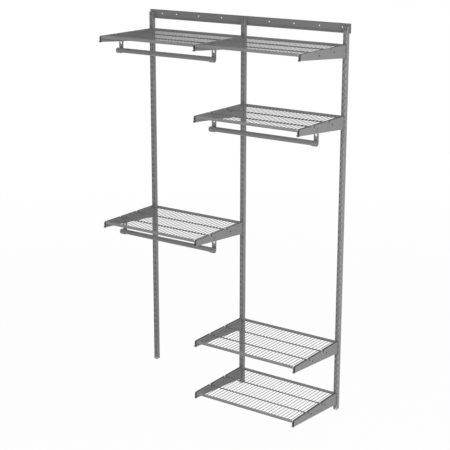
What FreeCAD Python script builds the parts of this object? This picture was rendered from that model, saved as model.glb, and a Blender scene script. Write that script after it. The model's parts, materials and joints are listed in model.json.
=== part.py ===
import FreeCAD, Part
import math
import os

# Wall-hung closet system: wall rails, slotted uprights, tapered brackets, wire shelves, clothes rails.
# X runs along the wall, the wall is the plane Y = 0 with the room towards -Y, and Z is up.
# The origin is on the wall, midway between the two wall rails, at the height of their screw holes.
# All lengths are in millimetres.

# Shared values
bay_width = 600.0  # between the centres of neighbouring uprights
seat_gap = 0.3  # between a piece and the one that carries it
overrun = 6.0  # how far a cutting shape runs past the faces it cuts
corner_steps = 3  # straight steps round a small corner
turn_steps = 6  # straight steps round a half turn

# Wall rail: a strip on the wall with a flange at the top and a hooked lip at the bottom
rail_height = 48.0
rail_depth = 7.0
rail_sheet = 1.5
rail_lip_height = 7.0
rail_overhang = 20.0  # past the centre of the outer upright
rail_joint_gap = 1.0  # between the two rails, behind the middle upright
screw_line_drop = 20.0  # of the screw holes below the top of the rail
screw_hole_diameter = 6.5
screw_row_inset = 10.0  # the shared holes divide the bay width, less this, evenly
screw_holes_per_rail = 3
end_hole_inset_left = 81.0  # from the outer end of the left rail
end_hole_inset_right = 49.0  # from the outer end of the right rail

# Upright: a channel with its back partly open, hung on the lip of the wall rail
upright_width = 25.0
upright_depth = 22.0
upright_sheet = 1.5
upright_corner = 2.5
upright_return = 7.5  # width of each of the two flanges that turn in at its back
upright_foot_corner = 4.0
upright_drop = 14.0  # of its top below the top of the wall rail, the room to lift it off

# Slots in the front of the upright, in two columns
slot_spacing = 32.0
slot_rows = 63
slot_end_margin = 12.0  # from the end of the upright to the middle of the first slot
slot_height = 18.0
slot_width = 4.0
slot_column_spacing = 12.2

# Bracket: a channel with its top and front open, with a tapering lower edge
bracket_reach = 441.0  # of its front edge from the wall
bracket_width = 14.0
bracket_sheet = 1.8
bracket_front_height = 30.5
bracket_rear_foot = 13.0  # of its rear edge below the middle of its lower slot
bracket_nose_radius = 12.0
bracket_fold = 1.2  # taken off the two long lower edges, where the sheet is folded
bracket_rise = 20.0  # of its top edge above the middle of its upper slot
bracket_hooks = 2
hook_height = 13.0
hook_tooth_drop = 5.0
hook_tooth_depth = 2.6
tooth_reach = 4.0  # of the small tooth at the foot of the front edge, forwards
tooth_drop = 2.5  # of that tooth below the lower edge
tooth_height = 8.0
tooth_root = 9.0  # from the front edge back to where the tooth joins the lower edge
bite_radius = 2.4  # of the notch above the tooth
bite_steps = 2
side_hole_diameter = 9.0
side_hole_sides = 8
side_hole_drop = 23.5  # below the top edge
front_hole_inset = 166.0  # behind the front edge
rear_hole_inset = 304.0

# Wire shelf: two edge bars, two cross rods below the wires, and the wires between the edge bars
shelf_front_lead = 2.5  # of its front face before the front edge of the bracket
shelf_side_gap = 1.0  # between an edge bar and the side of a bracket
edge_bar_height = 15.0
edge_bar_depth = 6.0
edge_bar_bevel = 1.8
rod_diameter = 6.0
rod_sides = 8
rod_drop = 8.3  # of its centre below the top edge of the bracket
rod_play = 0.3  # around a rod in its notch
rod_end_gap = 0.5  # from the end of a rod to the middle of the bracket
front_rod_inset = 135.0  # behind the front edge of the bracket
rear_rod_inset = 273.0
wire_diameter = 3.0
wire_spacing = 20.0
wire_end_room = 8.0  # at least this much bar is left past the last wire
wire_sides = 4
weld_gap = 0.1

# Clothes rail and its holder, a forked strip that ends in a hook
tube_diameter = 25.0
tube_wall = 1.5
tube_drop = 89.0  # of its axis below the top edge of the bracket
tube_overhang = 14.0  # past the middle of the bracket
holder_sheet = 3.0
holder_width = 27.0
fork_width = 30.0
fork_window_height = 12.0  # under the lower edge of the bracket
fork_foot_share = 0.45  # width of the window's foot, of its width at the bracket
hook_lip_rise = 4.0  # above the axis of the tube
ear_thickness = 2.4
ear_width = 12.0
ear_pin_diameter = 8.6

# Which slot each row of brackets hangs in, counted down from the top slot
top_row = 3
second_row = 14
lower_row = 34
third_row = 51
bottom_row = 60

# Heights and places that follow
rail_top = screw_line_drop
rail_bottom = rail_top - rail_height
upright_length = slot_spacing * (slot_rows - 1) + 2 * slot_end_margin
upright_top = rail_top - upright_drop
upright_foot = upright_top - upright_length
upright_x = {"left": -bay_width, "middle": 0.0, "right": bay_width}
bay_x = {"left": -bay_width / 2, "right": bay_width / 2}
bracket_rear = -(upright_depth + seat_gap)
bracket_rear_height = bracket_rise + (bracket_hooks - 1) * slot_spacing + bracket_rear_foot
bracket_slope = (bracket_rear_height - bracket_front_height) / (bracket_reach + bracket_rear)
hook_seat = slot_height / 2 - seat_gap
front_hole_reach = bracket_reach - front_hole_inset
rear_hole_reach = bracket_reach - rear_hole_inset
front_rod_reach = bracket_reach - front_rod_inset
rear_rod_reach = bracket_reach - rear_rod_inset
shelf_front_reach = bracket_reach + shelf_front_lead
edge_bar_length = bay_width - bracket_width - 2 * shelf_side_gap
cradle_radius = (tube_diameter / 2 + seat_gap) / math.cos(math.pi / 2 / turn_steps)  # to its corners
tube_y = -(front_hole_reach + holder_sheet / 2 + cradle_radius)
shelf_rear_y = bracket_rear - seat_gap


def slot_z(row):
    # Height of the middle of a slot, counted down from the top one
    return upright_top - slot_end_margin - row * slot_spacing


def bracket_top_z(row):
    return slot_z(row) + bracket_rise


def lower_edge(y):
    # Height of the lower edge of a bracket below its top edge, at a place along it
    return -bracket_front_height - bracket_slope * (y + bracket_reach)


def turn(centre, radius, start, end, steps):
    # Points round an arc, as pairs, with its angles in degrees from the first axis to the second
    angles = [math.radians(start + (end - start) * n / steps) for n in range(steps + 1)]
    return [(centre[0] + radius * math.cos(a), centre[1] + radius * math.sin(a)) for a in angles]


def slab(points, width):
    # A closed outline of (Y, Z) pairs, made solid across X and centred on it
    corners = [FreeCAD.Vector(-width / 2, y, z) for y, z in points]
    return Part.Face(Part.makePolygon(corners + corners[:1])).extrude(FreeCAD.Vector(width, 0, 0))


def plate(points, y, depth):
    # A closed outline of (X, Z) pairs, made solid along Y
    corners = [FreeCAD.Vector(x, y, z) for x, z in points]
    return Part.Face(Part.makePolygon(corners + corners[:1])).extrude(FreeCAD.Vector(0, depth, 0))


def prism_radius(diameter, sides):
    # Radius to the corners of a prism with as much section as a round bar has
    return diameter / 2 * math.sqrt(2 * math.pi / (sides * math.sin(2 * math.pi / sides)))


def half_thickness(diameter, sides):
    return prism_radius(diameter, sides) * math.cos(math.pi / sides)


def prism(diameter, sides):
    # Outline of that prism, lying on a flat side
    half_side = 180 / sides
    first = 90 + half_side
    return turn((0, 0), prism_radius(diameter, sides), first, first + 360 - 2 * half_side, sides - 1)


def block(x, y, z):
    # A box between two limits on each axis
    size = (x[1] - x[0], y[1] - y[0], z[1] - z[0])
    return Part.makeBox(*size, FreeCAD.Vector(x[0], y[0], z[0]))


def at(points, y, z):
    return [(a + y, b + z) for a, b in points]


def tube_along_x(radius, length, y, z):
    start = FreeCAD.Vector(-length / 2, y, z)
    return Part.makeCylinder(radius, length, start, FreeCAD.Vector(1, 0, 0))


def moved(shape, x, z):
    copy = shape.copy()
    copy.translate(FreeCAD.Vector(x, 0, z))
    return copy


# The wires lie on the cross rods
rod_top_drop = rod_drop - half_thickness(rod_diameter, rod_sides)
wire_drop = rod_top_drop - weld_gap - half_thickness(wire_diameter, wire_sides)


def wall_rail(start, end, hole_places):
    # The strip lies on the wall, the top flange stands out, and the lower flange turns up as the lip
    strip = block((start, end), (-rail_sheet, 0), (rail_bottom, rail_top))
    top_flange = block((start, end), (-rail_depth, 0), (rail_top - rail_sheet, rail_top))
    low_flange = block((start, end), (-rail_depth, 0), (rail_bottom, rail_bottom + rail_sheet))
    lip_top = rail_bottom + rail_lip_height
    lip = block((start, end), (-rail_depth, rail_sheet - rail_depth), (rail_bottom, lip_top))
    rail = strip.fuse([top_flange, low_flange, lip]).removeSplitter()
    for place in hole_places:
        from_front = FreeCAD.Vector(place, -rail_sheet - overrun, 0)
        depth = rail_sheet + 2 * overrun
        hole = Part.makeCylinder(screw_hole_diameter / 2, depth, from_front, FreeCAD.Vector(0, 1, 0))
        rail = rail.cut(hole)
    return rail


def channel_section():
    # Section of the upright in plan: a front wall, two side walls, and a flange turned in from each
    half = upright_width / 2
    inner_half = half - upright_sheet
    mouth = half - upright_return
    inner_corner = upright_corner - upright_sheet
    middle_y = upright_corner - upright_depth
    middle_x = half - upright_corner
    points = [(half, 0)]
    points += turn((middle_x, middle_y), upright_corner, 0, -90, corner_steps)
    points += turn((-middle_x, middle_y), upright_corner, -90, -180, corner_steps)
    points += [(-half, 0), (-mouth, 0), (-mouth, -upright_sheet), (-inner_half, -upright_sheet)]
    points += turn((-middle_x, middle_y), inner_corner, -180, -90, corner_steps)
    points += turn((middle_x, middle_y), inner_corner, -90, 0, corner_steps)
    points += [(inner_half, -upright_sheet), (mouth, -upright_sheet), (mouth, 0)]
    corners = [FreeCAD.Vector(x, y, upright_foot) for x, y in points]
    return Part.Face(Part.makePolygon(corners + corners[:1]))


def foot_outline():
    # Front view of the upright, with its two lower corners rounded
    half = upright_width / 2
    radius = upright_foot_corner
    low = upright_foot + radius
    top = upright_top + overrun
    points = [(half + overrun, top), (-half - overrun, top), (-half - overrun, low), (-half, low)]
    points += turn((radius - half, low), radius, 180, 270, corner_steps)[1:]
    points += turn((half - radius, low), radius, 270, 360, corner_steps)
    points.append((half + overrun, low))
    return plate(points, -upright_depth - overrun, upright_depth + 2 * overrun)


def upright():
    channel = channel_section().extrude(FreeCAD.Vector(0, 0, upright_length))
    channel = channel.common(foot_outline())
    # The side walls are notched to hook over the lip of the wall rail, and stay clear of its strip
    notch_front = -(rail_depth + seat_gap)
    notch_top = rail_bottom + rail_lip_height
    low = rail_bottom - seat_gap
    flange_room = rail_bottom + rail_sheet + seat_gap
    lip_back = rail_sheet + seat_gap - rail_depth
    strip_front = -(rail_sheet + seat_gap)
    across = upright_width + 2 * overrun
    points = [
        (overrun, low),
        (notch_front, low),
        (notch_front, notch_top),
        (lip_back, notch_top),
        (lip_back, flange_room),
        (strip_front, flange_room),
        (strip_front, upright_top + overrun),
        (overrun, upright_top + overrun),
    ]
    channel = channel.cut(slab(points, across))
    slots = []
    for row in range(slot_rows):
        for side in (-1, 1):
            middle = side * slot_column_spacing / 2
            x = (middle - slot_width / 2, middle + slot_width / 2)
            y = (-upright_depth - overrun, upright_sheet + overrun - upright_depth)
            z = (slot_z(row) - slot_height / 2, slot_z(row) + slot_height / 2)
            slots.append(block(x, y, z))
    return channel.cut(Part.makeCompound(slots))


def bracket_outline():
    # Side view, with the top edge at Z = 0: rod notches, nose, bite and tooth, and hooks at the back
    front = -bracket_reach
    nose = bracket_nose_radius
    notch_size = rod_diameter + 2 * rod_play
    notch_half = half_thickness(notch_size, rod_sides)
    notch_radius = prism_radius(notch_size, rod_sides)
    half_side = 180 / rod_sides
    tooth_foot = -bracket_front_height - tooth_drop
    tooth_top = tooth_foot + tooth_height
    tooth_back = front + tooth_root
    web_back = upright_sheet + seat_gap - upright_depth
    hook_back = web_back + hook_tooth_depth
    points = [(bracket_rear, 0)]
    for reach in (rear_rod_reach, front_rod_reach):
        points.append((notch_half - reach, 0))
        points += turn((-reach, -rod_drop), notch_radius, -half_side, half_side - 180, rod_sides // 2 - 1)
        points.append((-reach - notch_half, 0))
    points += turn((front + nose, -nose), nose, 90, 180, corner_steps)
    points += turn((front, tooth_top + bite_radius), bite_radius, 90, -90, bite_steps)
    points += [
        (front - tooth_reach, tooth_top),
        (front - tooth_reach, tooth_foot),
        (front, tooth_foot),
        (tooth_back, lower_edge(tooth_back)),
        (bracket_rear, -bracket_rear_height),
    ]
    for hook in reversed(range(bracket_hooks)):
        seat = -bracket_rise - hook * slot_spacing - hook_seat
        points += [
            (bracket_rear, seat),
            (web_back, seat),
            (web_back, seat - hook_tooth_drop),
            (hook_back, seat - hook_tooth_drop),
            (hook_back, seat + hook_height),
            (bracket_rear, seat + hook_height),
        ]
    return points


def bracket():
    body = slab(bracket_outline(), bracket_width)
    # The two long lower edges are the folds of the sheet
    long_edges = [edge for edge in body.Edges if edge.BoundBox.YLength > bracket_reach / 2]
    folds = [edge for edge in long_edges if edge.BoundBox.ZLength > seat_gap]
    body = body.makeChamfer(bracket_fold, folds)
    # The inside of the channel, open at the top, the front and the back
    before = -bracket_reach - tooth_reach - overrun
    inside = [
        (before, lower_edge(before) + bracket_sheet),
        (overrun, lower_edge(overrun) + bracket_sheet),
        (overrun, overrun),
        (before, overrun),
    ]
    body = body.cut(slab(inside, bracket_width - 2 * bracket_sheet))
    for reach in (front_hole_reach, rear_hole_reach):
        hole = at(prism(side_hole_diameter, side_hole_sides), -reach, -side_hole_drop)
        body = body.cut(slab(hole, bracket_width + 2 * overrun))
    return body


def hook_strip():
    # Side view of the strip: it comes down behind the tube, turns under it and ends as a front lip
    axis = (tube_y, -tube_drop)
    inner = cradle_radius
    outer = cradle_radius + holder_sheet
    top = lower_edge(tube_y + outer) - fork_window_height
    lip = hook_lip_rise - tube_drop
    points = [(tube_y + outer, top)]
    points += turn(axis, outer, 0, -180, turn_steps)
    points += turn((tube_y - (outer + inner) / 2, lip), holder_sheet / 2, 180, 0, corner_steps)
    points += turn(axis, inner, -180, 0, turn_steps)
    points.append((tube_y + inner, top))
    return slab(points, holder_width)


def fork():
    # Front view of the top of the strip: two legs round the bracket, with the window between them
    y = tube_y + cradle_radius
    edge = lower_edge(y)
    base = edge - fork_window_height
    foot = base - holder_sheet
    top = edge + holder_sheet
    inner = bracket_width / 2 + seat_gap
    foot_inner = inner * fork_foot_share
    points = [
        (-holder_width / 2, foot), (-fork_width / 2, top), (-inner, top), (-inner, edge),
        (-foot_inner, base), (foot_inner, base),
        (inner, edge), (inner, top), (fork_width / 2, top), (holder_width / 2, foot),
    ]
    return plate(points, y, holder_sheet)


def ear(side):
    # A plate beside the bracket, round at the top about the side hole, with its pin in that hole
    radius = ear_width / 2
    y = -front_hole_reach
    z = -side_hole_drop
    high = lower_edge(y) + holder_sheet
    low = lower_edge(y) - fork_window_height / 2
    points = turn((y, z), radius, 0, 180, turn_steps)
    points += [(y - radius, high), (y - holder_sheet / 2, low)]
    points += [(y + holder_sheet / 2, low), (y + radius, high)]
    inside = bracket_width / 2 - bracket_sheet
    plate_side = bracket_width / 2 + seat_gap
    pin_length = plate_side + ear_thickness / 2 - inside
    plain_ear = moved(slab(points, ear_thickness), side * (plate_side + ear_thickness / 2), 0)
    pin = slab(at(prism(ear_pin_diameter, side_hole_sides), y, z), pin_length)
    return plain_ear.fuse(moved(pin, side * (inside + pin_length / 2), 0))


def holder():
    return hook_strip().fuse([fork(), ear(-1), ear(1)]).removeSplitter()


def edge_bar(y):
    # A flat bar with bevelled upper and lower edges, level with the wires
    bevel = edge_bar_bevel
    half_depth = edge_bar_depth / 2
    half_height = edge_bar_height / 2
    points = [
        (half_depth, half_height - bevel), (half_depth - bevel, half_height),
        (bevel - half_depth, half_height), (-half_depth, half_height - bevel),
        (-half_depth, bevel - half_height), (bevel - half_depth, -half_height),
        (half_depth - bevel, -half_height), (half_depth, bevel - half_height),
    ]
    return slab(at(points, y, -wire_drop), edge_bar_length)


def cross_rods():
    length = bay_width - 2 * rod_end_gap
    section = prism(rod_diameter, rod_sides)
    reaches = (front_rod_reach, rear_rod_reach)
    return Part.makeCompound([slab(at(section, -reach, -rod_drop), length) for reach in reaches])


def wires():
    # Each wire runs from the front bar to the rear bar, over the cross rods
    front = edge_bar_depth - shelf_front_reach
    rear = shelf_rear_y - edge_bar_depth
    section = at(prism(wire_diameter, wire_sides), 0, -wire_drop)
    spaces = int((edge_bar_length - 2 * wire_end_room) / wire_spacing)
    places = [(n - spaces / 2) * wire_spacing for n in range(spaces + 1)]
    return Part.makeCompound([moved(plate(section, front, rear - front), x, 0) for x in places])


def clothes_rail():
    length = bay_width + 2 * tube_overhang
    outside = tube_along_x(tube_diameter / 2, length, tube_y, -tube_drop)
    bore = tube_along_x(tube_diameter / 2 - tube_wall, length + 2 * overrun, tube_y, -tube_drop)
    return outside.cut(bore)


def write(name, shape):
    shape.exportStep(f"parts/{name}.step")
    print(name, "solids", len(shape.Solids), "valid", shape.isValid())


os.makedirs("parts", exist_ok=True)

rows = {"top": top_row, "second": second_row, "lower": lower_row, "third": third_row, "bottom": bottom_row}

# Wall rails, one over each bay
rail_end = bay_width + rail_overhang
hole_spacing = (bay_width - screw_row_inset) / (screw_holes_per_rail + 1)
shared_holes = [hole_spacing * (n + 1) for n in range(screw_holes_per_rail)]
left_holes = [-x for x in shared_holes] + [end_hole_inset_left - rail_end]
right_holes = shared_holes + [rail_end - end_hole_inset_right]
write("wall_rail_left", wall_rail(-rail_end, -rail_joint_gap / 2, left_holes))
write("wall_rail_right", wall_rail(rail_joint_gap / 2, rail_end, right_holes))

# Uprights
plain_upright = upright()
for place, x in upright_x.items():
    write(f"upright_{place}", moved(plain_upright, x, 0))

# Brackets, on each upright the rows that it carries
plain_bracket = bracket()
bracket_rows = {
    "left": ("top", "lower"),
    "middle": ("top", "second", "lower", "third", "bottom"),
    "right": ("top", "second", "third", "bottom"),
}
for place, names in bracket_rows.items():
    for name in names:
        write(f"bracket_{place}_{name}", moved(plain_bracket, upright_x[place], bracket_top_z(rows[name])))

# Wire shelves, on each bay the rows that it has
shelf_pieces = {
    "front_bar": edge_bar(edge_bar_depth / 2 - shelf_front_reach),
    "rear_bar": edge_bar(shelf_rear_y - edge_bar_depth / 2),
    "cross_rods": cross_rods(),
    "wires": wires(),
}
shelf_rows = {"left": ("top", "lower"), "right": ("top", "second", "third", "bottom")}
for bay, names in shelf_rows.items():
    for name in names:
        for piece, shape in shelf_pieces.items():
            write(f"shelf_{bay}_{name}_{piece}", moved(shape, bay_x[bay], bracket_top_z(rows[name])))

# Clothes rails, each in two holders
plain_holder = holder()
plain_tube = clothes_rail()
tube_rows = {"left": ("top", "lower"), "right": ("second",)}
for bay, names in tube_rows.items():
    for name in names:
        top = bracket_top_z(rows[name])
        write(f"clothes_rail_{bay}_{name}", moved(plain_tube, bay_x[bay], top))
        for end, side in (("left_end", -1), ("right_end", 1)):
            x = bay_x[bay] + side * bay_width / 2
            write(f"holder_{bay}_{name}_{end}", moved(plain_holder, x, top))
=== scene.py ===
import bmesh
import bpy
import json
import math
from mathutils import Matrix, Vector


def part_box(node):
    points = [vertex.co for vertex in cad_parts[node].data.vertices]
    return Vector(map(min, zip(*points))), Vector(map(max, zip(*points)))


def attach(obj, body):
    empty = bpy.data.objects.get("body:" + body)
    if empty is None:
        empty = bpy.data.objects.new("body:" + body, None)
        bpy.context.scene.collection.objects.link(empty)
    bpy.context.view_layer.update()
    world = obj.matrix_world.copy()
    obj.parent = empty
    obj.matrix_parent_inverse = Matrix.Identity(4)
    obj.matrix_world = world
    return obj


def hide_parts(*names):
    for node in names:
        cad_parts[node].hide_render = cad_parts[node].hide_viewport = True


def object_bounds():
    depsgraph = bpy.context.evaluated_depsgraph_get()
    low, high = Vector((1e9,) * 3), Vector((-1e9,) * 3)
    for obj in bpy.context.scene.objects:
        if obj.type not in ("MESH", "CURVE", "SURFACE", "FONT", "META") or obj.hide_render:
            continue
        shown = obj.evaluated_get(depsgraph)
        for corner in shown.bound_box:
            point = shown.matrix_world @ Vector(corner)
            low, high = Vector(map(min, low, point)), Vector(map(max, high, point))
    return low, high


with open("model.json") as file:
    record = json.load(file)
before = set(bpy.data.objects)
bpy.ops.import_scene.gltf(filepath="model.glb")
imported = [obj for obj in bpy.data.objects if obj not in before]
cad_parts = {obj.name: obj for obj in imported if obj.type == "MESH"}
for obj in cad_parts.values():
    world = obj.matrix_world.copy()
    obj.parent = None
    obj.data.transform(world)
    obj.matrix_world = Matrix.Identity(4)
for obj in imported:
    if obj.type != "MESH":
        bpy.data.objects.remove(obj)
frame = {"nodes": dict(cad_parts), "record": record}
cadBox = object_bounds()
print("frame loaded,", len(frame["nodes"]), "nodes")

mm = 0.001  # pieces are modelled in millimetres and scaled when they are placed
hair = 0.01  # places closer than this, in millimetres, count as one
acrossX = Vector((1, 0, 0))
acrossY = Vector((0, 1, 0))
upZ = Vector((0, 0, 1))
bodyOf = {node: body for body, nodes in frame["record"]["behaviour"]["bodies"].items() for node in nodes}


# Camera, at the photograph's viewing angle

cameraLook = {
    "place": (3.439, -5.074, 0.662),
    "turn": 35.42,  # degrees to the left of straight at the wall
    "dip": 14.92,
    "lens": 95.0,
    "sensor": 36.0,
    "shift": (0.015, -0.05),
    "clip": (0.1, 200.0),
}


def makeCamera(look):
    data = bpy.data.cameras.new("camera")
    data.lens = look["lens"]
    data.sensor_width = look["sensor"]
    data.shift_x, data.shift_y = look["shift"]
    data.clip_start, data.clip_end = look["clip"]
    camera = bpy.data.objects.new("camera", data)
    camera.location = look["place"]
    camera.rotation_euler = (math.radians(90 - look["dip"]), 0, math.radians(look["turn"]))
    bpy.context.scene.collection.objects.link(camera)
    bpy.context.scene.camera = camera
    bpy.context.scene.view_settings.view_transform = "Standard"


makeCamera(cameraLook)
print("camera set")


# Shader fields: sums on sockets, each of which adds its node to the tree

class Field:
    def __init__(self, tree, socket=None):
        self.tree = tree
        self.socket = socket

    def node(self, kind, settings=None, sockets=None, output=0):
        made = self.tree.nodes.new(kind)
        for name, value in (settings or {}).items():
            setattr(made, name, value)
        for name, value in (sockets or {}).items():
            if isinstance(value, Field):
                self.tree.links.new(value.socket, made.inputs[name])
            elif made.inputs[name].type == "RGBA":
                made.inputs[name].default_value = (*value, 1)
            else:
                made.inputs[name].default_value = value
        return Field(self.tree, made.outputs[output])

    def math(self, operation, a, b):
        return self.node("ShaderNodeMath", {"operation": operation}, {0: a, 1: b})

    def __add__(self, other):
        return self.math("ADD", self, other)

    def __sub__(self, other):
        return self.math("SUBTRACT", self, other)

    def __mul__(self, other):
        return self.math("MULTIPLY", self, other)

    def __radd__(self, other):
        return self.math("ADD", other, self)

    def __rsub__(self, other):
        return self.math("SUBTRACT", other, self)

    def __rmul__(self, other):
        return self.math("MULTIPLY", other, self)

    def noise(self, scale, detail=2.0, rough=0.5):
        sockets = {"Vector": self, "Scale": scale, "Detail": detail, "Roughness": rough}
        return self.node("ShaderNodeTexNoise", None, sockets)

    def stretched(self, scale):
        return self.node("ShaderNodeMapping", None, {"Vector": self, "Scale": scale})

    def rise(self, low, high):
        sockets = {"Value": self, "From Min": low, "From Max": high}
        return self.node("ShaderNodeMapRange", {"interpolation_type": "SMOOTHSTEP"}, sockets)

    def blend(self, first, second):
        return self.node("ShaderNodeMix", {"data_type": "RGBA"}, {0: self, 6: first, 7: second}, 2)


# Powder coat over steel: faint clouds, a fine speckle, orange peel, thin edges and a little dust on top

coatWords = ("tone", "clouds", "speckle", "gloss", "peel", "grain", "dust")
coats = {
    "wall_rails": (0.186, 0.08, 0.07, 0.40, 0.20, 380, 0.30),
    "uprights": (0.200, 0.07, 0.07, 0.42, 0.22, 420, 0.10),
    # Painted light: the two pale coats below stand in for light inside the channels, where shade falls; the
    # flanges at the back are palest
    "insides": (0.300, 0.20, 0.20, 0.55, 0.30, 500, 0.10),
    "flanges": (0.550, 0.10, 0.10, 0.55, 0.30, 500, 0.10),
    "brackets": (0.190, 0.08, 0.07, 0.44, 0.22, 420, 0.35),
    "holders": (0.205, 0.14, 0.14, 0.46, 0.26, 460, 0.20),
    "clothes_rails": (0.180, 0.08, 0.06, 0.32, 0.12, 300, 0.30),
    "end_plugs": (0.145, 0.06, 0.10, 0.55, 0.16, 700, 0.20),
    "shelf_wires": (0.120, 0.14, 0.16, 0.42, 0.25, 600, 0.08),
    "shelf_rods": (0.175, 0.12, 0.12, 0.42, 0.22, 500, 0.20),
    "shelf_bars": (0.225, 0.12, 0.12, 0.42, 0.22, 420, 0.35),
    "welds": (0.165, 0.22, 0.24, 0.52, 0.50, 900, 0.20),
}

# Shared by all coats; each pattern has its scale, its detail and, for some, its roughness
coatPatterns = {
    "clouds": (4.0, 3.0),
    "cloudGain": 8.0,
    "speckle": (1100.0, 1.0, 0.7),
    "speckleGain": 6.0,
    "darkest": 0.82,  # times the tone
    "lightest": 1.18,
    "cool": (1.01, 1.005),  # a touch more blue, where dark and where light
    "worn": (60.0, 3.0, 0.6),
    "wornRange": (0.42, 0.66),
    "wornTone": (0.34, 0.34, 0.345),
    "wear": 0.45,
    "wornGloss": 0.25,
    "dusty": (35.0, 4.0, 0.65),
    "dustyRange": (0.35, 0.75),
    "dustTilt": (0.55, 1.0),  # how far a face looks up
    "dustTone": (0.36, 0.355, 0.345),
    "dustDull": 0.5,
    "smudges": (28.0, 3.0),
    "smudgeDull": 0.22,
    "peel": (2.0, 0.45),
    "peelShare": 0.75,
    "bumpHeight": 0.0004,
    "drawing": (3.0, 900.0, 900.0),  # long fine lines along a drawn tube
    "lineDull": 0.12,
    "lineShare": 0.3,
}


def powderCoat(name, look, patterns, drawn=False):
    material = bpy.data.materials.new(name)
    material.use_nodes = True
    shader = material.node_tree.nodes["Principled BSDF"]
    root = Field(material.node_tree)
    place = root.node("ShaderNodeTexCoord", output="Object")
    clouds = place.noise(*patterns["clouds"])
    speckle = place.noise(*patterns["speckle"])
    cloudGain = look["clouds"] * patterns["cloudGain"]
    speckleGain = look["speckle"] * patterns["speckleGain"]
    shade = 0.5 + (clouds - 0.5) * cloudGain + (speckle - 0.5) * speckleGain
    low = look["tone"] * patterns["darkest"]
    high = look["tone"] * patterns["lightest"]
    coolLow, coolHigh = patterns["cool"]
    tone = shade.blend((low, low, low * coolLow), (high, high, high * coolHigh))

    # Where the sheet turns a sharp edge the coat is thinner, paler and smoother
    thin = root.node("ShaderNodeAttribute", {"attribute_name": "edgeWear"}, output="Fac")
    thin = thin * place.noise(*patterns["worn"]).rise(*patterns["wornRange"]) * patterns["wear"]
    tone = thin.blend(tone, patterns["wornTone"])

    # Dust settles on faces that look up
    normal = root.node("ShaderNodeNewGeometry", output="Normal")
    upwards = root.node("ShaderNodeSeparateXYZ", None, {0: normal}, 2)
    patches = place.noise(*patterns["dusty"]).rise(*patterns["dustyRange"])
    dust = upwards.rise(*patterns["dustTilt"]) * patches * look["dust"]
    tone = dust.blend(tone, patterns["dustTone"])

    smudges = (place.noise(*patterns["smudges"]) - 0.5) * patterns["smudgeDull"]
    rough = look["gloss"] + smudges + dust * patterns["dustDull"] - thin * patterns["wornGloss"]
    peel = place.noise(look["grain"], *patterns["peel"])
    height = peel * patterns["peelShare"] + speckle * (1 - patterns["peelShare"])
    if drawn:
        lines = place.stretched(patterns["drawing"]).noise(1.0)
        rough = rough + (lines - 0.5) * patterns["lineDull"]
        height = height * (1 - patterns["lineShare"]) + lines * patterns["lineShare"]
    sockets = {"Strength": look["peel"], "Distance": patterns["bumpHeight"], "Height": height}
    bump = root.node("ShaderNodeBump", None, sockets)
    for field, socket in ((tone, "Base Color"), (rough, "Roughness"), (bump, "Normal")):
        material.node_tree.links.new(field.socket, shader.inputs[socket])
    return material


coatOf = {}
for slot, values in coats.items():
    look = dict(zip(coatWords, values))
    coatOf[slot] = powderCoat(slot + "_coat", look, coatPatterns, slot == "clothes_rails")
print("materials made,", len(coatOf))


# Modelling helpers

def unique(parts):
    # Each part once, in a fixed order
    return list(dict.fromkeys(parts))


def vertsOf(made):
    return [part for part in made if isinstance(part, bmesh.types.BMVert)]


def edgesOf(made):
    return [part for part in made if isinstance(part, bmesh.types.BMEdge)]


def edgesWhere(bm, test):
    return [edge for edge in bm.edges if all(test(vert.co) for vert in edge.verts)]


def bevelled(bm, geom, width, steps, affect="EDGES", clamp=False):
    return bmesh.ops.bevel(bm, geom=geom, offset=width, offset_type="OFFSET", segments=steps, profile=0.5,
                           affect=affect, clamp_overlap=clamp, material=-1)


def evenNormals(bm):
    bmesh.ops.recalc_face_normals(bm, faces=bm.faces[:])


def turnOutwards(bm, test, outward):
    # Turns all faces outwards, judged by one whose centre passes the test
    evenNormals(bm)
    bm.normal_update()
    probe = next(face for face in bm.faces if test(face.calc_center_median()))
    if probe.normal.dot(outward) < 0:
        bmesh.ops.reverse_faces(bm, faces=bm.faces[:])


def thickened(bm, sheet):
    # Gives a skin its thickness, inwards from its faces
    bmesh.ops.solidify(bm, geom=bm.faces[:], thickness=sheet)
    evenNormals(bm)


def flatFace(bm, corners, level):
    # A face in the plane X = level, from (Y, Z, corner radius) triples, with its corners rounded
    verts = [bm.verts.new((level, y, z)) for y, z, radius in corners]
    bm.faces.new(verts)
    for vert, corner in zip(verts, corners):
        if corner[2]:
            bevelled(bm, [vert], corner[2], 5, "VERTICES")


def pulled(bm, edges, step):
    # Pulls open edges out by a step and returns the new ones
    made = bmesh.ops.extrude_edge_only(bm, edges=edges)["geom"]
    verts = vertsOf(made)
    bmesh.ops.translate(bm, verts=verts, vec=step)
    return [edge for edge in edgesOf(made) if set(edge.verts) <= set(verts)]


def swung(bm, edges, centre, axis, angle, steps):
    # Sweeps open edges round an axis and returns the last ones
    verts = unique(vert for edge in edges for vert in edge.verts)
    made = bmesh.ops.spin(bm, geom=verts + edges, cent=centre, axis=axis, angle=math.radians(angle),
                          steps=steps)
    return edgesOf(made["geom_last"])


def bend(bm, edges, radius, steps):
    evenNormals(bm)
    bevelled(bm, edges, radius, steps)


def softenRims(bm, width, steps=2, sharpest=50):
    # Rounds the sharp edges and marks the rounds, where the coat wears first
    mark = bm.loops.layers.float.get("edgeWear") or bm.loops.layers.float.new("edgeWear")
    sharp = [edge for edge in bm.edges
             if edge.is_manifold and edge.calc_face_angle() > math.radians(sharpest)]
    for face in bevelled(bm, sharp, width, steps, clamp=True)["faces"]:
        for loop in face.loops:
            loop[mark] = 1.0


def cut(bm, faces, place, normal):
    # Cuts faces along a plane
    geom = unique(part for face in faces for part in (face, *face.edges, *face.verts))
    bmesh.ops.bisect_plane(bm, geom=geom, dist=0.0001, plane_co=place, plane_no=normal)


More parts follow.
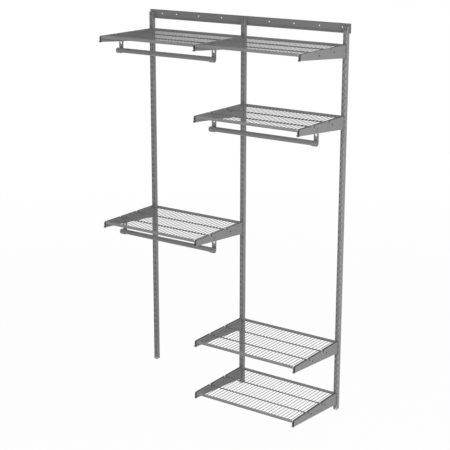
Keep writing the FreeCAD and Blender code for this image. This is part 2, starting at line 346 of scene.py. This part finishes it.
def punched(bm, centre, across, hole, cell, quarter):
    # Opens a round hole in the vertical face under a point, in a square that is cut round it first
    centre = Vector(centre)
    normal = across.cross(upZ)
    for side in (across, -across, upZ, -upZ):
        cut(bm, [faceUnder(bm, centre, normal)], centre + side * cell, side)
    face = faceUnder(bm, centre, normal)

    def turnTo(vert):
        arm = vert.co - centre
        return math.atan2(arm.dot(upZ), arm.dot(across))

    corners = sorted(face.verts, key=turnTo)
    bmesh.ops.delete(bm, geom=[face], context="FACES_ONLY")
    turns = [math.radians(90 * n / quarter - 135) for n in range(4 * quarter)]
    arms = [across * math.cos(turn) + upZ * math.sin(turn) for turn in turns]
    ring = [bm.verts.new(centre + arm * (hole / 2)) for arm in arms]
    for side in range(4):
        arc = [ring[n % len(ring)] for n in range(side * quarter, (side + 1) * quarter + 1)]
        bm.faces.new([corners[(side + 1) % 4], corners[side], *arc])
    bm.normal_update()


def faceUnder(bm, point, normal):
    bm.normal_update()
    for face in bm.faces:
        flat = abs(face.normal.dot(normal)) > 0.99 and abs((face.verts[0].co - point).dot(normal)) < hair
        if flat and bmesh.geometry.intersect_face_point(face, point):
            return face
    raise ValueError(f"no face under {point}")


def roundBar(bm, diameter, start, end, sides, rim=0.0):
    # A straight round bar between two points, its ends closed and eased
    start, end = Vector(start), Vector(end)
    along = end - start
    turned = along.to_track_quat("Z", "Y").to_matrix().to_4x4()
    turned.translation = (start + end) / 2
    made = bmesh.ops.create_cone(bm, cap_ends=True, cap_tris=False, segments=sides, radius1=diameter / 2,
                                 radius2=diameter / 2, depth=along.length, matrix=turned)["verts"]
    if rim:
        ends = [edge for edge in unique(edge for vert in made for edge in vert.link_edges)
                if any(len(face.verts) > 4 for face in edge.link_faces)]
        bend(bm, ends, rim, 2)


def bead(bm, centre, size):
    # A small weld bead
    matrix = Matrix.Translation(centre) @ Matrix.Diagonal((*size, 1))
    made = bmesh.ops.create_uvsphere(bm, u_segments=8, v_segments=4, radius=1, matrix=matrix)["verts"]
    for face in unique(face for vert in made for face in vert.link_faces):
        face.material_index = 1


def template(bm, name, smoothest=35):
    # A finished shape in millimetres, as a mesh that can be copied to each of its places
    mesh = bpy.data.meshes.new(name)
    bmesh.ops.triangulate(bm, faces=[face for face in bm.faces if len(face.verts) > 8])
    for face in bm.faces:
        face.smooth = True
    bm.to_mesh(mesh)
    bm.free()
    mesh.set_sharp_from_angle(angle=math.radians(smoothest))
    return mesh


def placed(shape, name, node, slot, origin, extras=(), weighted=True, coat=None):
    # One copy of a shape, moved to its place, standing for a CAD node and riding on that node's body
    mesh = shape.copy()
    mesh.name = name
    mesh.transform(Matrix.Translation(origin) @ Matrix.Scale(mm, 4))
    mesh.materials.append(coatOf[coat or slot])
    for extra in extras:
        mesh.materials.append(coatOf[extra])
    piece = bpy.data.objects.new(name, mesh)
    bpy.context.scene.collection.objects.link(piece)
    if weighted:
        piece.modifiers.new("flatFaces", "WEIGHTED_NORMAL").keep_sharp = True
    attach(piece, bodyOf[node])
    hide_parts(node)


def camel(node):
    words = node.split("_")
    return words[0] + "".join(word.capitalize() for word in words[1:])


def nodesNamed(start):
    return [node for node in sorted(frame["nodes"]) if node.startswith(start)]


# Wall rails: a strip with a top flange and a hooked lower lip

wallRail = {
    "top": 20.0,
    "foot": -28.0,
    "depth": 7.0,
    "lip": 7.0,
    "sheet": 1.5,
    "foldRadius": 1.9,
    "rim": 0.3,
    "hole": 6.5,
    "holes": {
        "wall_rail_left": (-147.5, -295.0, -442.5, -539.0),
        "wall_rail_right": (147.5, 295.0, 442.5, 571.0),
    },
    "holeCell": 8.0,  # half of the square that is cut round a hole
    "holeQuarter": 7,  # sides in a quarter of a hole
}


def wallRailShape(look, node):
    low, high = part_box(node)
    bm = bmesh.new()
    back, foot = -look["depth"], look["foot"]
    line = [(back, look["top"]), (0, look["top"]), (0, foot), (back, foot), (back, foot + look["lip"])]
    verts = [bm.verts.new((low.x / mm, y, z)) for y, z in line]
    edges = [bm.edges.new(pair) for pair in zip(verts, verts[1:])]
    pulled(bm, edges, ((high.x - low.x) / mm, 0, 0))
    for x in look["holes"][node]:
        punched(bm, (x, 0, 0), acrossX, look["hole"], look["holeCell"], look["holeQuarter"])
    folds = [edge for edge in bm.edges if isFold(edge, line[1:4])]
    bend(bm, folds, look["foldRadius"], 4)
    bmesh.ops.remove_doubles(bm, verts=bm.verts[:], dist=hair)
    turnOutwards(bm, lambda centre: abs(centre.y) < hair, acrossY)
    thickened(bm, look["sheet"])
    softenRims(bm, look["rim"])
    return template(bm, node + "_shape")


def isFold(edge, corners):
    # Edges along the rail, at one of the corners of its section
    a, b = edge.verts[0].co, edge.verts[1].co
    along = abs((a - b).normalized().x) > 0.99
    return along and any(abs(a.y - y) < hair and abs(a.z - z) < hair for y, z in corners)


for node in wallRail["holes"]:
    placed(wallRailShape(wallRail, node), camel(node), node, "wall_rails", (0, 0, 0))
print("wall rails made")


# Uprights: a channel with two columns of slots and a partly open back, hung on the lip of the wall rail

uprightLook = {
    "width": 25.0,
    "depth": 22.0,
    "sheet": 1.5,
    "corner": 2.5,
    "backCorner": 1.8,
    "mouth": 5.0,  # half of the opening at the back
    "slotPitch": 32.0,
    "slotRows": 63,
    "slotHeight": 18.0,
    "slotWidth": 4.0,
    "slotCorner": 1.0,
    "columnPitch": 12.2,
    "endMargin": 12.0,
    "footCorner": 4.0,
    "rim": 0.25,
    "notch": {"front": -7.3, "lipBack": -5.2, "strip": -1.8, "foot": -28.3, "flange": -26.2, "lipTop": -21.0},
}


def slotSides(look):
    inner = (look["columnPitch"] - look["slotWidth"]) / 2
    return inner, inner + look["slotWidth"]


def slottedFront(bm, look, top):
    # One pitch of the front wall, with its two slots opened, then the whole row of them
    edgeX = look["width"] / 2 - look["corner"]
    slotIn, slotOut = slotSides(look)
    step = look["slotPitch"]
    margin = (step - look["slotHeight"]) / 2
    firstZ = top - look["endMargin"] + step / 2
    places = (-edgeX, -slotOut, -slotIn, slotIn, slotOut, edgeX)
    row = [bm.verts.new((x, -look["depth"], firstZ)) for x in places]
    line = [bm.edges.new(pair) for pair in zip(row, row[1:])]
    for drop in (margin, look["slotHeight"], margin):
        line = pulled(bm, line, (0, 0, -drop))
    slots = []
    for face in bm.faces:
        centre = face.calc_center_median()
        if abs(centre.z - firstZ + step / 2) < 1 and slotIn < abs(centre.x) < slotOut:
            slots.append(face)
    bmesh.ops.delete(bm, geom=slots, context="FACES")
    geom = bm.verts[:] + bm.edges[:] + bm.faces[:]
    bmesh.ops.spin(bm, geom=geom, cent=(0, 0, 0), axis=upZ, dvec=(0, 0, -step), angle=0,
                   steps=look["slotRows"] - 1, use_duplicate=True)
    bmesh.ops.remove_doubles(bm, verts=bm.verts[:], dist=hair)
    # The ends are trimmed to their margins
    lastZ = firstZ - step * look["slotRows"]
    trim = step / 2 - look["endMargin"]
    for vert in bm.verts:
        if vert.co.z > firstZ - 0.1:
            vert.co.z -= trim
        elif vert.co.z < lastZ + 0.1:
            vert.co.z += trim
    return lastZ + trim


def sideWall(bm, look, side):
    # From the front: a rounded corner, the side wall, a rounded corner and the flange at the back
    front = -look["depth"]
    corner, backCorner = look["corner"], look["backCorner"]
    edgeX = look["width"] / 2 - corner
    turnX = look["width"] / 2 - backCorner
    footX = look["width"] / 2 - look["footCorner"]
    edges = edgesWhere(bm, lambda co: abs(co.x - side * edgeX) < hair)
    edges = swung(bm, edges, (side * edgeX, front + corner, 0), upZ * side, 90, 4)
    reach = (front + corner, look["notch"]["front"], look["notch"]["lipBack"], -backCorner)
    for start, end in zip(reach, reach[1:]):
        edges = pulled(bm, edges, (0, end - start, 0))
    edges = swung(bm, edges, (side * turnX, -backCorner, 0), upZ * side, 90, 3)
    for start, end in ((turnX, footX), (footX, look["mouth"])):
        edges = pulled(bm, edges, (side * (end - start), 0, 0))


def hangingNotch(bm, cuts):
    # The side walls hook over the lip of the wall rail, and the flanges end below it
    def rear():
        return [face for face in bm.faces if face.calc_center_median().y > cuts["front"]]

    for z in (cuts["foot"], cuts["flange"], cuts["lipTop"]):
        crossed = [face for face in rear()
                   if min(vert.co.z for vert in face.verts) < z < max(vert.co.z for vert in face.verts)]
        cut(bm, crossed, (0, 0, z), upZ)
    gone = []
    for face in rear():
        centre = face.calc_center_median()
        notch = cuts["foot"] < centre.z < cuts["lipTop"]
        atStrip = centre.y > cuts["strip"] and centre.z > cuts["foot"]
        hook = cuts["lipBack"] < centre.y < cuts["strip"] and centre.z > cuts["flange"]
        if (notch or atStrip) and not hook:
            gone.append(face)
    bmesh.ops.delete(bm, geom=gone, context="FACES")


def easedFoot(bm, look, foot):
    # Rounds the lower corners, and lifts the row above them clear of the rounds
    radius = look["footCorner"]
    aboveFoot = foot + radius + look["sheet"]
    for vert in bm.verts:
        inset = abs(vert.co.x) - (look["width"] / 2 - radius)
        if abs(vert.co.z - foot) < hair and inset > 0:
            vert.co.z += radius - math.sqrt(max(0, radius ** 2 - inset ** 2))
        elif vert.co.z < aboveFoot and inset > 0:
            vert.co.z = aboveFoot


def slotCorners(bm, look):
    # The short edges through the sheet at the corners of the slots
    slotIn, slotOut = slotSides(look)
    found = []
    for edge in bm.edges:
        a, b = edge.verts[0].co, edge.verts[1].co
        through = abs(a.x - b.x) < hair and abs(a.z - b.z) < hair and abs(a.y - b.y) > 1
        atSlot = min(abs(abs(a.x) - slotIn), abs(abs(a.x) - slotOut)) < hair
        if through and atSlot and a.y < 1 - look["depth"] + look["sheet"]:
            found.append(edge)
    return found


def uprightShape(look, top):
    bm = bmesh.new()
    front = -look["depth"]
    foot = slottedFront(bm, look, top)
    for side in (-1, 1):
        sideWall(bm, look, side)
    hangingNotch(bm, look["notch"])
    easedFoot(bm, look, foot)
    turnOutwards(bm, lambda centre: centre.y < front + hair, -acrossY)
    bmesh.ops.solidify(bm, geom=bm.faces[:], thickness=look["sheet"])
    bevelled(bm, slotCorners(bm, look), look["slotCorner"], 2)
    evenNormals(bm)
    softenRims(bm, look["rim"], 1)
    # Inside the channel the coat is painted paler, and palest on the flanges at the back: painted light that
    # lifts the shade inside the channel
    wall = look["sheet"] - 0.1
    for face in bm.faces:
        centre = face.calc_center_median()
        if abs(centre.x) < look["width"] / 2 - wall and front + wall < centre.y < -wall:
            face.material_index = 2 if centre.y > -look["sheet"] - 0.1 else 1
    return template(bm, "upright_shape")


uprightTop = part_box("upright_middle")[1].z / mm
uprightMesh = uprightShape(uprightLook, uprightTop)
for node in nodesNamed("upright_"):
    low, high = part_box(node)
    middle = ((low.x + high.x) / 2, 0, 0)
    placed(uprightMesh, camel(node), node, "uprights", middle, ("insides", "flanges"))
print("uprights made,", len(uprightMesh.polygons), "faces each")


# Brackets: a folded channel with rod notches, side holes, a toothed nose and hooks at the back

bracketLook = {
    "reach": 441.0,
    "width": 14.0,
    "sheet": 1.8,
    "rear": -22.3,
    "frontHeight": 30.5,
    "rearHeight": 65.0,
    "nose": 12.0,
    "bite": {"top": -20.2, "foot": -25.0, "depth": 2.4, "round": 1.6},
    "tooth": {"foot": -33.0, "reach": 4.0, "heel": 9.0, "round": 0.8},
    "fold": 2.6,
    "rim": 0.3,
    "rods": (168.0, 306.0),
    "rodDrop": 8.3,
    "rodRoom": 3.3,
    "rodRound": 0.8,
    "holes": (275.0, 137.0),
    "hole": 9.0,
    "holeDrop": 23.5,
    "holeCell": 6.0,
    "holeQuarter": 6,
    "seats": (-60.7, -28.7),  # where each hook sits on the sill of its slot
    "hook": {"neck": -20.2, "back": -17.6, "under": 5.0, "over": 13.0, "footRound": 0.7, "headRound": 1.2},
}


def heightAt(look, y):
    # How far the lower edge lies below the top one
    slope = (look["rearHeight"] - look["frontHeight"]) / (look["reach"] + look["rear"])
    return look["frontHeight"] + slope * (y + look["reach"])


def bracketOutline(look):
    # (Y, Z, corner radius) round one side plate, from the top of its rear edge
    front, rear, room = -look["reach"], look["rear"], look["rodRoom"]
    floor = -look["rodDrop"] - room
    mouth, bottom = look["rodRound"], room - 0.05  # the two rounds of the bottom stay just apart
    corners = [(rear, 0, 0)]
    for rod in look["rods"]:
        corners += [
            (room - rod, 0, mouth), (room - rod, floor, bottom),
            (-room - rod, floor, bottom), (-room - rod, 0, mouth),
        ]
    bite, tooth = look["bite"], look["tooth"]
    biteY, toothY, heelY = front + bite["depth"], front - tooth["reach"], front + tooth["heel"]
    corners += [
        (front, 0, look["nose"]),
        (front, bite["top"], 0), (biteY, bite["top"], bite["round"]), (biteY, bite["foot"], bite["round"]),
        (toothY, bite["foot"], tooth["round"]), (toothY, tooth["foot"], 0), (front, tooth["foot"], 0),
        (heelY, -heightAt(look, heelY), 0),
        (rear, -look["rearHeight"], 0),
    ]
    hook = look["hook"]
    neck, back = hook["neck"], hook["back"]
    for seat in look["seats"]:
        foot, head = seat - hook["under"], seat + hook["over"]
        corners += [
            (rear, seat, 0), (neck, seat, 0), (neck, foot, hook["footRound"]),
            (back, foot, hook["footRound"]), (back, head, hook["headRound"]), (rear, head, 0),
        ]
    return corners


def isLower(edge, look):
    # Edges of the two side plates along the foot of the bracket, from the tooth to the rear
    a, b = edge.verts[0].co, edge.verts[1].co
    if abs(a.x - b.x) > hair or abs(abs(a.x) - look["width"] / 2) > hair:
        return False
    for co in (a, b):
        tooth = co.y < 0.1 - look["reach"] and abs(co.z - look["tooth"]["foot"]) < hair
        if not tooth and abs(co.z + heightAt(look, co.y)) > 0.05:
            return False
    return True


def bracketShape(look):
    half = look["width"] / 2
    bm = bmesh.new()
    flatFace(bm, bracketOutline(look), half)
    for hole in look["holes"]:
        centre = (half, -hole, -look["holeDrop"])
        punched(bm, centre, acrossY, look["hole"], look["holeCell"], look["holeQuarter"])
    bmesh.ops.mirror(bm, geom=bm.verts[:] + bm.edges[:] + bm.faces[:], axis="X", merge_dist=0.0001)
    bmesh.ops.bridge_loops(bm, edges=[edge for edge in bm.edges if isLower(edge, look)])
    folds = [edge for edge in bm.edges if isLower(edge, look) and edge.is_manifold]
    bend(bm, folds, look["fold"], 5)
    bmesh.ops.remove_doubles(bm, verts=bm.verts[:], dist=hair)
    turnOutwards(bm, lambda centre: centre.x > half - hair, acrossX)
    thickened(bm, look["sheet"])
    softenRims(bm, look["rim"])
    # Between its plates the coat is painted paler: painted light that lifts the shade between the plates
    inside = half - look["sheet"] + 0.1
    for face in bm.faces:
        if abs(face.calc_center_median().x) < inside and face.normal.z > -0.3:
            face.material_index = 1
    return template(bm, "bracket_shape")


bracketMesh = bracketShape(bracketLook)
for node in nodesNamed("bracket_"):
    low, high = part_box(node)
    place = ((low.x + high.x) / 2, 0, high.z)
    placed(bracketMesh, camel(node), node, "brackets", place, ("insides",))
print("brackets made,", len(bracketMesh.polygons), "faces each")


# Wire shelves: round wires welded to two cross rods and between two rounded bars

shelfLook = {
    "wire": 3.0,
    "wirePitch": 20.0,
    "wireSides": 10,
    "rod": 6.0,
    "rodSides": 20,
    "rodRim": 0.7,
    "barCorner": 2.0,
    "barRim": 0.4,
    "beadAtRod": (2.6, 2.2, 1.0),
    "beadAtBar": (2.3, 1.3, 2.1),
}


def middleOf(node):
    low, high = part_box(node)
    return (low + high) / 2 / mm, (high - low) / mm


def barShape(look, size):
    bm = bmesh.new()
    half = size / 2
    sides = ((-half.y, -half.z), (half.y, -half.z), (half.y, half.z), (-half.y, half.z))
    flatFace(bm, [(*side, look["barCorner"]) for side in sides], -half.x)
    made = bmesh.ops.extrude_face_region(bm, geom=bm.faces[:])["geom"]
    bmesh.ops.translate(bm, verts=vertsOf(made), vec=(size.x, 0, 0))
    evenNormals(bm)
    softenRims(bm, look["barRim"], 2, 60)
    return template(bm, "bar_shape")


def rodsShape(look, rods, length):
    bm = bmesh.new()
    for y in rods:
        start, end = (-length / 2, y, 0), (length / 2, y, 0)
        roundBar(bm, look["rod"], start, end, look["rodSides"], look["rodRim"])
    return template(bm, "rods_shape", 50)


def wiresShape(look, front, rear, rods, width):
    # Y and Z are measured from the wall and from the middle of the wires
    bm = bmesh.new()
    count = int((width - look["wire"]) / look["wirePitch"] + 0.5) + 1
    underside = -look["wire"] / 2
    for number in range(count):
        x = (number - (count - 1) / 2) * look["wirePitch"]
        roundBar(bm, look["wire"], (x, front, 0), (x, rear, 0), look["wireSides"])
        for y in rods:
            bead(bm, (x, y, underside + 0.1), look["beadAtRod"])
        for y in (front, rear):
            bead(bm, (x, y, 0), look["beadAtBar"])
    return template(bm, "wires_shape", 50)


def makeShelf(look, shelf):
    bars = []
    for part in ("front_bar", "rear_bar"):
        node = f"{shelf}_{part}"
        middle, size = middleOf(node)
        placed(barShape(look, size), camel(node), node, "shelf_bars", middle * mm)
        bars.append((middle.y, size.y / 2))
    front, rear = bars[0][0] + bars[0][1], bars[1][0] - bars[1][1]
    node = f"{shelf}_cross_rods"
    middle, size = middleOf(node)
    apart = size.y / 2 - look["rod"] / 2
    rods = (middle.y - apart, middle.y + apart)
    place = Vector((middle.x, 0, middle.z)) * mm
    shape = rodsShape(look, rods, size.x)
    placed(shape, camel(node), node, "shelf_wires", place, weighted=False, coat="shelf_rods")
    node = f"{shelf}_wires"
    middle, size = middleOf(node)
    place = Vector((middle.x, 0, middle.z)) * mm
    shape = wiresShape(look, front, rear, rods, size.x)
    placed(shape, camel(node), node, "shelf_wires", place, ("welds",), weighted=False)


shelves = sorted(node[:-len("_wires")] for node in frame["nodes"] if node.endswith("_wires"))
for shelf in shelves:
    makeShelf(shelfLook, shelf)
print("shelves made,", len(shelves))


# Clothes rails: plain tubes with a push-in plug at each end

tubeLook = {"wall": 1.5, "sides": 48, "rim": 0.45, "plugRim": 0.5, "plugOut": 1.2, "plugRound": 0.6}


def tubeShape(look, length, diameter):
    bm = bmesh.new()
    turned = Matrix.Translation((-length / 2, 0, 0)) @ Matrix.Rotation(math.radians(90), 4, "Y")
    bmesh.ops.create_circle(bm, radius=diameter / 2, segments=look["sides"], matrix=turned, cap_ends=False)
    pulled(bm, bm.edges[:], (length, 0, 0))
    evenNormals(bm)
    thickened(bm, look["wall"])
    softenRims(bm, look["rim"], 3, 60)
    tube = set(bm.faces)
    width = diameter - 2 * look["plugRim"]
    for side in (-1, 1):
        start = (side * (length / 2 - look["plugRound"]), 0, 0)
        end = (side * (length / 2 + look["plugOut"]), 0, 0)
        roundBar(bm, width, start, end, look["sides"], look["plugRound"])
    for face in bm.faces:
        if face not in tube:
            face.material_index = 1
    return template(bm, "tube_shape")


for node in nodesNamed("clothes_rail_"):
    middle, size = middleOf(node)
    shape = tubeShape(tubeLook, size.x, size.z)
    placed(shape, camel(node), node, "clothes_rails", middle * mm, ("end_plugs",))
print("clothes rails made")


# Holders: a forked strap, its two ears turned to lie beside the bracket, and its foot curled under the tube

holderLook = {
    "sheet": 3.0,
    "width": 27.0,
    "back": -275.0,  # middle of the strap, from the wall
    "tubeDrop": 89.0,
    "cradle": 13.0,
    "cradleRise": 0.15,
    "lip": 3.2,
    "strapTop": -72.0,
    "flare": (0.6, -58.0),  # how much wider the strap is under its legs, and how high
    "shoulder": -54.0,  # where the legs begin to turn
    "legMiddle": 9.4,
    "legHalf": 4.6,
    "window": (3.2, -57.5),  # half the width of its foot, and how high that is
    "ear": {"x": 8.8, "half": 6.0, "foot": -44.5, "middle": -23.5, "turns": (20, 40, 58, 74)},
    "twistSteps": 6,
    "rim": 0.7,
    "pin": {"width": 8.6, "start": 5.3, "out": 1.0, "sides": 16, "rim": 0.4},
    "rivet": {"size": (1.2, 4.9, 4.9), "out": 1.4},
}


def holderEar(bm, look, side):
    # A leg turns a quarter about its own middle and widens into an ear with a round head
    back, shoulder, ear, steps = look["back"], look["shoulder"], look["ear"], look["twistSteps"]
    edges = edgesWhere(bm, lambda co: abs(co.z - shoulder) < hair and co.x * side > 0)
    for step in range(1, steps + 1):
        share = step / steps
        ease = share * share * (3 - 2 * share)
        edges = pulled(bm, edges, (0, 0, 0))
        verts = {vert for edge in edges for vert in edge.verts}
        ends = sorted(verts, key=lambda vert: vert.co.x * side + (vert.co.y - back))
        middleX = look["legMiddle"] + (ear["x"] - look["legMiddle"]) * ease
        reach = look["legHalf"] + (ear["half"] - look["legHalf"]) * ease
        angle = math.radians(90 * ease)
        z = shoulder + (ear["foot"] - shoulder) * share
        for sign, vert in zip((-1, 1), ends):
            x = side * (middleX + sign * reach * math.cos(angle))
            vert.co = (x, back + sign * reach * math.sin(angle), z)
    edges = pulled(bm, edges, (0, 0, ear["middle"] - ear["foot"]))
    for turn in ear["turns"]:
        edges = pulled(bm, edges, (0, 0, 0))
        for vert in {vert for edge in edges for vert in edge.verts}:
            sign = 1 if vert.co.y > back else -1
            vert.co.y = back + sign * ear["half"] * math.cos(math.radians(turn))
            vert.co.z = ear["middle"] + ear["half"] * math.sin(math.radians(turn))


def holderShape(look):
    bm = bmesh.new()
    half, back, sheet = look["width"] / 2, look["back"], look["sheet"]
    top, shoulder = look["strapTop"], look["shoulder"]
    legIn = look["legMiddle"] - look["legHalf"]
    legOut = look["legMiddle"] + look["legHalf"]
    (flare, flareZ), (window, windowZ) = look["flare"], look["window"]
    right = [(half, top), (half + flare, flareZ), (legOut, shoulder), (legIn, shoulder), (window, windowZ)]
    outline = right + [(-x, z) for x, z in reversed(right)]
    bm.faces.new([bm.verts.new((x, back, z)) for x, z in outline])
    # The strap goes down behind the tube, round under it, and up again as a short lip
    foot = look["cradleRise"] - look["tubeDrop"]
    edges = edgesWhere(bm, lambda co: co.z < top + 1)
    edges = pulled(bm, edges, (0, 0, foot - top))
    middle = look["cradle"] + sheet / 2
    edges = swung(bm, edges, (0, back - middle, foot), acrossX, -180, 18)
    pulled(bm, edges, (0, 0, look["lip"]))
    for side in (-1, 1):
        holderEar(bm, look, side)
    bmesh.ops.remove_doubles(bm, verts=bm.verts[:], dist=hair)
    evenNormals(bm)
    bm.normal_update()
    # The sheet is centred on this surface
    for vert in bm.verts:
        vert.co += vert.normal * (sheet / 2)
    thickened(bm, sheet)
    softenRims(bm, look["rim"], 3, 55)
    # Pins into the side holes of the bracket, with a rivet's head on each ear
    ear, pin, rivet = look["ear"], look["pin"], look["rivet"]
    for side in (-1, 1):
        start = (side * pin["start"], back, ear["middle"])
        end = (side * (ear["x"] + pin["out"]), back, ear["middle"])
        roundBar(bm, pin["width"], start, end, pin["sides"], pin["rim"])
        head = Matrix.Translation((side * (ear["x"] + rivet["out"]), back, ear["middle"]))
        bmesh.ops.create_uvsphere(bm, u_segments=20, v_segments=10, radius=1,
                                  matrix=head @ Matrix.Diagonal((*rivet["size"], 1)))
    return template(bm, "holder_shape", 45)


holderMesh = holderShape(holderLook)
earTop = holderLook["ear"]["middle"] + holderLook["ear"]["half"]
for node in nodesNamed("holder_"):
    low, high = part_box(node)
    place = ((low.x + high.x) / 2, 0, high.z - earTop * mm)
    placed(holderMesh, camel(node), node, "holders", place)
print("holders made,", len(holderMesh.polygons), "faces each")


# Floor and light

stageLook = {
    "floor": -2.12,
    "floorSize": 120.0,
    "floorTone": (0.86, 0.86, 0.86),
    "shadow": 0.03,  # how much of the floor's own shade the camera sees, near the object
    "fade": (2.5, 7.0),
    "ambient": (0.42, 0.42, 0.42),
    "lamps": {
        "key": {"place": (12.0, -1.0, 1.4), "size": (3.2, 4.7), "power": 389.0},
        "near": {"place": (2.5, -1.3, -0.9), "size": (0.7, 3.0), "power": 28.0},
        "front": {"place": (0.3, -7.0, 0.0), "size": (3.0, 3.0), "power": 120.0},
    },
}


def seenPlainly(root):
    # 1 where the camera, a reflection or a clear material sees the surface
    kinds = ("Is Camera Ray", "Is Glossy Ray", "Is Transmission Ray")
    rays = [root.node("ShaderNodeLightPath", output=kind) for kind in kinds]
    return root.math("MAXIMUM", rays[0], root.math("MAXIMUM", rays[1], rays[2]))


def makeFloor(look):
    mesh = bpy.data.meshes.new("floor")
    bm = bmesh.new()
    level = Matrix.Translation((0, 0, look["floor"]))
    bmesh.ops.create_grid(bm, x_segments=1, y_segments=1, size=look["floorSize"] / 2, matrix=level)
    bm.to_mesh(mesh)
    bm.free()
    floor = bpy.data.objects.new("floor", mesh)
    bpy.context.scene.collection.objects.link(floor)
    material = bpy.data.materials.new("paleFloor")
    material.use_nodes = True
    tree = material.node_tree
    shader = tree.nodes["Principled BSDF"]
    shader.inputs["Base Color"].default_value = (*look["floorTone"], 1)
    shader.inputs["Roughness"].default_value = 0.9
    shader.inputs["Specular IOR Level"].default_value = 0.1
    root = Field(tree)
    place = root.node("ShaderNodeTexCoord", output="Object")
    away = root.node("ShaderNodeVectorMath", {"operation": "LENGTH"}, {0: place}, "Value")
    near = 1 - away.rise(*look["fade"])
    white = root.node("ShaderNodeEmission", None, {"Color": (1, 1, 1), "Strength": 1.0})
    factor = seenPlainly(root) * (1 - near * look["shadow"])
    own = Field(tree, shader.outputs[0])
    mixed = root.node("ShaderNodeMixShader", None, {0: factor, 1: own, 2: white})
    tree.links.new(mixed.socket, tree.nodes["Material Output"].inputs["Surface"])
    mesh.materials.append(material)


def makeLight(look):
    world = bpy.data.worlds.new("studio")
    world.use_nodes = True
    bpy.context.scene.world = world
    root = Field(world.node_tree)
    tone = seenPlainly(root).blend(look["ambient"], (1, 1, 1))
    world.node_tree.links.new(tone.socket, world.node_tree.nodes["Background"].inputs["Color"])
    low, high = cadBox
    for name, lamp in look["lamps"].items():
        data = bpy.data.lights.new(name, "AREA")
        data.shape = "RECTANGLE"
        data.size, data.size_y = lamp["size"]
        data.energy = lamp["power"]
        placedLamp = bpy.data.objects.new(name, data)
        placedLamp.location = lamp["place"]
        towards = (low + high) / 2 - placedLamp.location
        placedLamp.rotation_euler = towards.to_track_quat("-Z", "Y").to_euler()
        bpy.context.scene.collection.objects.link(placedLamp)


makeFloor(stageLook)
makeLight(stageLook)
print("floor and lamps set")

# Each place has its own copy by now
for shape in [mesh for mesh in bpy.data.meshes if mesh.name.endswith("_shape") and not mesh.users]:
    bpy.data.meshes.remove(shape)
